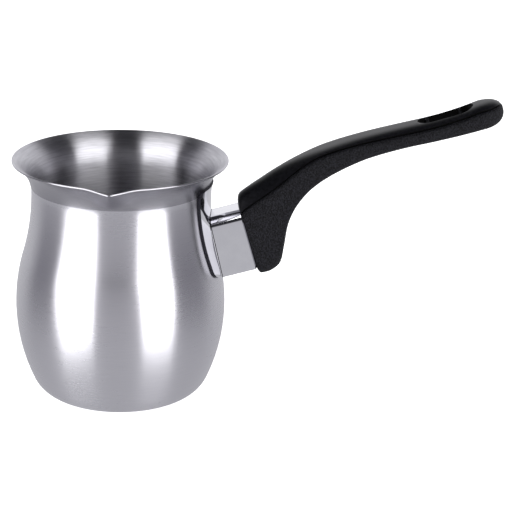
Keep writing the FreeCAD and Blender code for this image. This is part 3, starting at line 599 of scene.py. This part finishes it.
# The cut edge stands on the wall, then a small eased corner leads into the hollow face.
rim_rings = np.array([on_pot(*shield_line(inset).T, lift)
                      for inset, lift in ((0, -0.2), (0, EDGE - EASE), (EASE, EDGE))])
bend = np.radians(np.linspace(0, 90, 40))[1:, None]
v = np.sin(bend)
edge_side, edge_up = shield_line(EASE).T
side = edge_side * (1 - v) + foot_side * v
up = edge_up * (1 - v) + foot_z * v
rise = SLOPE * v + (1 - SLOPE) * (1 - np.cos(bend))
climb = (top_line - on_pot(foot_side, foot_z, EDGE))[None] * rise[..., None]
skirt = on_pot(side, up, EDGE) + climb
back = on_pot(side, up, BACK_LIFT) + climb * BACK_CLIMB
shield_rows = np.concatenate([rim_rings, skirt, back[::-1]])
# The cut edge's two bands take the dark steel: painted shade for the dark outline along the shield's edge.
shield_parts = (np.arange(len(shield_rows)) < 2).astype(int)
shield = surface("shield_plate", shield_rows.transpose(1, 0, 2), loop_rows=True, loop_columns=True,
                 bands=shield_parts, materials=[mirror_steel, seam_and_shade_steel])
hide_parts("saddle_flange")
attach(shield, "root")


# %% [markdown]
# ## The handle
# The handle is one moulding in two looks: a smooth convex cap, a thin groove under it, and a textured
# body with a rounded shoulder and rounded lower edges. Its outline is a U seen from above, so the surface
# is built as sections that walk along one side, turn round the nose and come back along the other. Every
# section is the same list of points, so the groove stays one unbroken line.

# %% Handle lines
def through(knots, count):
    """A smooth curve through a few given points, by Catmull-Rom: at each knot it runs parallel to the
    line between the knot's neighbours."""
    k = np.array(knots, float)
    k = np.concatenate([[2 * k[0] - k[1]], k, [2 * k[-1] - k[-2]]])
    s = np.linspace(0, len(k) - 3 - 1e-9, count)
    i = s.astype(int)
    t = (s - i)[:, None]
    a, b, c, d = k[i], k[i + 1], k[i + 2], k[i + 3]
    square, cube = 2 * a - 5 * b + 4 * c - d, 3 * b - a - 3 * c + d
    return 0.5 * (2 * b + (c - a) * t + square * t ** 2 + cube * t ** 3)


# Each knot pairs a point of the crown with a point of the underside: along, up, along, up.
SPINE = [(56.7, 17.0, 57.6, -15.3), (58.4, 19.0, 59.2, -16.1), (63.1, 21.0, 63.2, -15.9),
         (69, 23.1, 67.8, -13.4), (76, 25.5, 71.3, -6.7), (84, 27.6, 75.4, 2.0), (92, 29.0, 81.0, 8.9),
         (100, 29.85, 89.1, 14.6), (109, 30.35, 100.2, 18.6), (120, 30.5, 115, 21.3),
         (132, 30.25, 130, 22.0), (145, 29.9, 144, 21.5), (156, 30.35, 155.5, 21.2),
         (165.2, 31.4, 165.2, 21.2)]
spine = through(SPINE, 90)
print("crown ends", spine[-1, :2].round(1))

# %% [markdown]
# One section, from the middle of the cap down one side to the middle of the underside: the cap falls away
# as a power of the distance from the middle, the groove is a notch, a quarter of an ellipse makes the
# shoulder, then come a straight side and a quarter circle. A moulder would draw the same five pieces.

# %% Handle section
def smoothstep(x, low, high):
    """0 below low, 1 above high, and an S-curve between."""
    t = np.clip((x - low) / (high - low), 0, 1)
    return t * t * (3 - 2 * t)


CAP, QUARTER, SIDE, UNDER = 22, 8, 6, 6
# The groove's notch: how far in and how far down each of its points is, as shares of its size.
GROOVE_IN = np.array([0.05, 0.35, 0.85, 1.0, 1.0, 0.6, 0.2])
GROOVE_DOWN = np.array([0.12, 0.2, 0.28, 0.45, 0.7, 0.86, 0.95])
GROOVE_TALL = 1.3


def section(depth, cap_half, cap_depth, power, half, shoulder, rounding, cut):
    """(side, depth) of each section, crown centre to underside centre. Every argument is an array with
    one value per section. Cap: depth times (side / half) to a power. Groove: a notch cut mm deep. Then a
    quarter-ellipse shoulder, the side and a quarter circle."""
    def col(values):
        return np.asarray(values, float)[:, None]

    q = np.linspace(0, 1, CAP)[None]
    cap_l = col(cap_half) * q
    cap_d = col(cap_depth) * q ** col(power)
    groove_l = col(cap_half) - col(cut) * GROOVE_IN[None]
    groove_d = col(cap_depth) + GROOVE_TALL * GROOVE_DOWN[None] * col(cut)
    s = np.radians(np.linspace(0, 90, QUARTER))[None]
    start_l, start_d = groove_l[:, -1:] + 0.05, groove_d[:, -1:] + 0.05
    shoulder_l = start_l + (col(half) - start_l) * np.sin(s)
    shoulder_d = start_d + col(shoulder) * (1 - np.cos(s))
    w = np.linspace(0, 1, SIDE + 2)[None, 1:-1]
    side_d = shoulder_d[:, -1:] * (1 - w) + (col(depth) - col(rounding)) * w
    side_l = np.broadcast_to(col(half), side_d.shape)
    round_l = col(half) - col(rounding) * (1 - np.cos(s))
    round_d = col(depth) - col(rounding) * (1 - np.sin(s))
    u = np.linspace(0, 1, UNDER + 1)[None, 1:]
    under_l = round_l[:, -1:] * (1 - u)
    under_d = np.broadcast_to(col(depth), under_l.shape)
    return (np.concatenate([cap_l, groove_l, shoulder_l, side_l, round_l, under_l], axis=1),
            np.concatenate([cap_d, groove_d, shoulder_d, side_d, round_d, under_d], axis=1))


# %% [markdown]
# The sections walk along the crown, then turn about the last one to make the nose. Near the root the cap
# is deeper and rounder. The mould's front edge is softened: the first sections shrink towards their middle.

# %% Handle sections
HANDLE_HALF, NOSE_TURN, NOSE_SQUARE = 9.5, 18, 0.96
ROOT_FROM, ROOT_TO, SEAT_ROUND = 74, 100, 1.2
turn = np.linspace(0, 90, NOSE_TURN + 1)[1:]
line = np.concatenate([spine, np.repeat(spine[-1:], NOSE_TURN, axis=0)])
angle = np.radians(np.concatenate([np.zeros(len(spine)), turn]))
nose = np.sin(angle) ** 2
top, bottom = line[:, :2], line[:, 2:]
depth = np.hypot(*(top - bottom).T)
root = 1 - smoothstep(top[:, 0], ROOT_FROM, ROOT_TO)
# Each size is the one in the middle of the grip, and what the root and the nose add to it, in mm.
cap_depth = 1.7 + 4.0 * root + 0.5 * nose
power = 3.4 - 1.2 * root + 0.4 * nose
cap_half = 8.3 + 0.3 * nose
spare = depth - cap_depth - 1.0
shoulder = np.minimum(3.2, (0.38 - 0.2 * nose) * spare)
rounding = np.minimum(4.0 + nose, (0.5 + 0.3 * nose) * spare)
half = HANDLE_HALF - 0.1 * nose
groove_cut = 0.9 - 0.35 * root - 0.4 * nose
sec_l, sec_d = section(depth, cap_half, cap_depth, power, half, shoulder, rounding, groove_cut)
ahead = np.clip(1 - (top[:, 0] - top[0, 0]) / SEAT_ROUND, 0, 1)
inset = SEAT_ROUND * (1 - np.sqrt(1 - ahead ** 2))
sec_l = sec_l * (1 - inset / HANDLE_HALF)[:, None]
mid = (depth / 2)[:, None]
sec_d = mid + (sec_d - mid) * (1 - inset / (depth / 2))[:, None]


def place_section(l, d, top, bottom, angle, side):
    """Carries (side, depth) into the leaning frame: down the line from crown to underside, and out along
    the turned direction."""
    share = d / np.hypot(*(top - bottom).T)[:, None]
    along = top[:, :1] + (bottom - top)[:, :1] * share + l * np.sin(angle)[:, None] ** NOSE_SQUARE
    up = top[:, 1:] + (bottom - top)[:, 1:] * share
    return lean(along, side * l * np.cos(angle)[:, None].clip(0) ** NOSE_SQUARE, up)


near = place_section(sec_l, sec_d, top, bottom, angle, -1)
far = place_section(sec_l, sec_d, top, bottom, angle, 1)
print("handle sections", len(near), "points each", near.shape[1])

# %% [markdown]
# In front, the moulding ends in a flat face against the ferrule and a short plug that fits its bore. They
# are copies of the first section, squeezed into the bore and then shrunk to a point, so the surface stays
# one closed skin.

# %% Handle surface
# Index 2 is the near-black phenolic: painted shade in the groove, the slot and the screw well.
SATIN, GRIT, PAINTED_SHADE, CREASE = 0, 1, 2, 48
PLUG_HALF, PLUG_UP, PLUG_END = 9.0, 12.1, 53.0
columns = near.shape[1]
bands = np.where(np.arange(columns) < CAP, SATIN, GRIT)
# The groove's columns are near-black, as painted shade in the crease.
bands[CAP - 1:CAP + len(GROOVE_IN) - 2] = PAINTED_SHADE
body_points = np.concatenate([near, far[::-1][1:]])
first = np.stack([sec_l[0], sec_d[0]], axis=-1)


def plug(step, half_width, half_height, size=1.0):
    """The first section squeezed into a box of that half width and half height, at step along the leaning
    line, and then scaled by size."""
    l = first[:, 0] / first[:, 0].max() * half_width
    d = first[:, 1]
    up = half_height - (d - d.min()) / (d.max() - d.min()) * 2 * half_height
    return lean(step, l * size, up * size)


plugs = [plug(SEAT, PLUG_HALF, PLUG_UP), plug(PLUG_END + 1.2, PLUG_HALF, PLUG_UP),
         plug(PLUG_END + 0.2, 8.6, 11.6), plug(PLUG_END, 8.0, 11.0, 0.5), plug(PLUG_END, 8.0, 11.0, 0.0)]
flip = np.array([1, -1, 1])
front_near = np.array(plugs[::-1]) * flip
front_far = np.array(plugs)
PHENOLICS = [satin_phenolic, grit_phenolic, painted_shade_phenolic]
handle = surface("handle_moulding", np.concatenate([front_near, body_points, front_far]), bands=bands,
                 materials=PHENOLICS, smooth=CREASE)


# %% [markdown]
# The hanging slot and the screw well are cut out of the handle. The slot's cutter widens where it leaves
# the handle, and that leaves the rounded rim of the real moulding. Two small ribs stand in the slot.

# %% Slot and screw well
SLOT_LOW, SLOT_HIGH, SLOT_HALF = 139.4, 161.2, 4.7
RIB_UP, RIB_TOP, RIB_HALF, RIB_PLACES = 1.3, 28.6, 0.55, (142.4, 156.8)
WELL_RADIUS, WELL_FLOOR = 5.3, 65.5


def cutter(name, plan, levels, frame_of, ribs=0.0, finish=PAINTED_SHADE):
    """A closed plug: plan (n, 2) grown by each level's (up, grow), and dented by the ribs up to RIB_TOP."""
    middle = plan.mean(axis=0)
    after = np.roll(plan, -1, axis=0)
    anticlockwise = np.sign(np.sum(plan[:, 0] * after[:, 1] - after[:, 0] * plan[:, 1]))
    normal = after - np.roll(plan, 1, axis=0)
    normal = anticlockwise * np.stack([normal[:, 1], -normal[:, 0]], axis=1) / np.hypot(*normal.T)[:, None]
    pole = np.broadcast_to(middle[:, None], plan.T.shape)
    dent = np.stack([0 * plan[:, 0], ribs + 0 * plan[:, 0]], axis=1)
    rings = [frame_of(*pole, levels[0][0])]
    for up, grow in levels:
        has_ribs = grow == 0 and up <= RIB_TOP
        rings.append(frame_of(*(plan + grow * normal + has_ribs * dent).T, up))
    rings.append(frame_of(*pole, levels[-1][0]))
    return surface(name, np.array(rings), loop_columns=True, bands=finish + np.zeros(len(plan), int),
                   materials=PHENOLICS, smooth=CREASE)


slot_round = SLOT_HALF - 0.05
plan = rounded_loop(SLOT_HALF, SLOT_HALF, SLOT_LOW, SLOT_HIGH, slot_round, slot_round, 14, 70)[:, ::-1]
ribs = -sum(RIB_UP * (plan[:, 1] > 0) * np.exp(-((plan[:, 0] - rib) / RIB_HALF) ** 4) for rib in RIB_PLACES)
# From under the handle to above it: a flared lower rim, straight walls, and a wider flared upper rim.
slot_levels = [(17, 1.6), (20.9, 1.3), (21.3, 0.7), (21.8, 0.2), (22.5, 0), (RIB_TOP, 0),
               (RIB_TOP + 0.01, 0), (28.9, 0), (29.4, 0.12), (29.8, 0.4), (30.1, 0.8), (30.4, 1.3), (33, 2.6)]
# The slot's walls are near-black as painted shade; the ribs keep the grit finish.
slot_cutter = cutter("slot_cutter", plan, slot_levels, lean, ribs, np.where(ribs < -0.2, GRIT, PAINTED_SHADE))
well_plan = arc((0, 0), WELL_RADIUS, 0, 360, 49)[:-1]
well_levels = [(WELL_FLOOR, 0), (WELL_FLOOR + 0.5, 0), (95, 0)]
# The screw well's walls are near-black too, as painted shade.
well_cutter = cutter("well_cutter", well_plan, well_levels, lambda side, up, along: lean(along, side, up))


def cut(piece, tools):
    """Subtracts the tools from the piece, keeps the result as its mesh and removes the tools."""
    for tool in tools:
        step = piece.modifiers.new(tool.name, "BOOLEAN")
        step.operation, step.solver, step.object = "DIFFERENCE", "EXACT", tool
    bpy.context.view_layer.update()
    result = bpy.data.meshes.new_from_object(piece.evaluated_get(bpy.context.evaluated_depsgraph_get()))
    piece.modifiers.clear()
    piece.data = result
    for tool in tools:
        bpy.data.objects.remove(tool)
    result.shade_smooth()
    result.set_sharp_from_angle(angle=math.radians(CREASE))
    print(piece.name, "after cutting:", len(result.polygons), "faces")


cut(handle, [slot_cutter, well_cutter])
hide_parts("handle")
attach(handle, "root")

# %% [markdown]
# ## The pieces inside
# The bracket, its welds, the nut, the washers and the screw are already right in the frame. They only
# get their metals.

# %% Finishes for the carried-over pieces
FINISHES = {"handle_bracket": bracket_steel, "spot_welds": bracket_steel, "weld_nut": zinc_steel,
            "flat_washer": zinc_steel, "spring_washer": spring_steel, "handle_screw": zinc_steel}
for node, finish in FINISHES.items():
    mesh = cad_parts[node].data
    mesh.materials.clear()
    mesh.materials.append(finish)
print("finished:", ", ".join(FINISHES))

# %% [markdown]
# ## Which lamp lights which piece
# The mirror finish of the shield throws the right strip back onto the pot as a hard glare. The weaker
# card, seen only by the shield and the ferrule, takes its place there, as a flag and a small lamp would.
# The left strip leaves out the handle, whose satin cap would show it as a hard line.

# %% Light linking
for light, state, pieces in ((right, "EXCLUDE", [shield, ferrule]), (card, "INCLUDE", [shield, ferrule]),
                             (left, "EXCLUDE", [handle])):
    group = bpy.data.collections.new(light.name + "_group")
    for piece in pieces:
        group.objects.link(piece)
    light.light_linking.receiver_collection = group
    for link in group.collection_objects:
        link.light_linking.link_state = state
    print(light.name, state, [piece.name for piece in pieces])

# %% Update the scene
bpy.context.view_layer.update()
